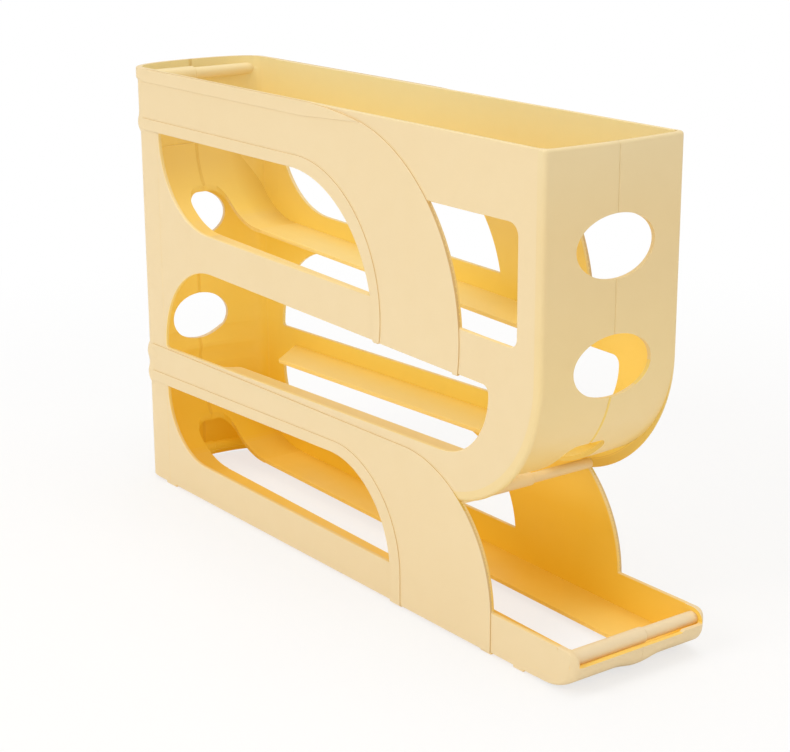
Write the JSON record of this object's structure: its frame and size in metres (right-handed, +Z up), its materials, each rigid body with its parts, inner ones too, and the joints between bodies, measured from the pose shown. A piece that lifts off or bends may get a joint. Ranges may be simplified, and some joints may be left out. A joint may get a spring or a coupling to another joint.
{
  "type": "rolling egg dispenser",
  "caption": "Free-standing moulded rack with windowed sides and sloping rails on three levels; eggs go in at the open top and roll down to an open tray at the front.",
  "frame": {"origin": "middle of the footprint, on the surface that the rack stands on", "axes": "+X along the rack towards the tray, +Y across it towards the left half, +Z up"},
  "size_m": [0.32, 0.07, 0.2],
  "materials": {
    "butter_plastic": "smooth satin"
  },
  "bodies": {
    "right_half": {"right_side_panel": "butter_plastic", "right_upper_band": "butter_plastic", "right_lower_band": "butter_plastic", "right_back_wall": "butter_plastic", "right_front_wall": "butter_plastic", "right_front_turn": "butter_plastic", "right_upper_chute": "butter_plastic", "right_lower_chute": "butter_plastic", "right_upper_rail": "butter_plastic", "right_middle_rail": "butter_plastic", "right_lower_rail": "butter_plastic", "right_tray_nose": "butter_plastic", "right_top_socket": "butter_plastic", "right_tray_socket": "butter_plastic", "right_back_socket": "butter_plastic", "right_turn_socket": "butter_plastic"},
    "left_half": {"left_side_panel": "butter_plastic", "left_upper_band": "butter_plastic", "left_lower_band": "butter_plastic", "left_back_wall": "butter_plastic", "left_front_wall": "butter_plastic", "left_front_turn": "butter_plastic", "left_upper_chute": "butter_plastic", "left_lower_chute": "butter_plastic", "left_upper_rail": "butter_plastic", "left_middle_rail": "butter_plastic", "left_lower_rail": "butter_plastic", "left_tray_nose": "butter_plastic", "left_top_peg": "butter_plastic", "left_tray_peg": "butter_plastic", "left_back_peg": "butter_plastic", "left_turn_peg": "butter_plastic"}
  },
  "joints": [
    {"name": "left_half_slide", "type": "slide", "parent": "right_half", "child": "left_half", "axis": [0, 1, 0], "range_m": [0, 0.03]}
  ]
}
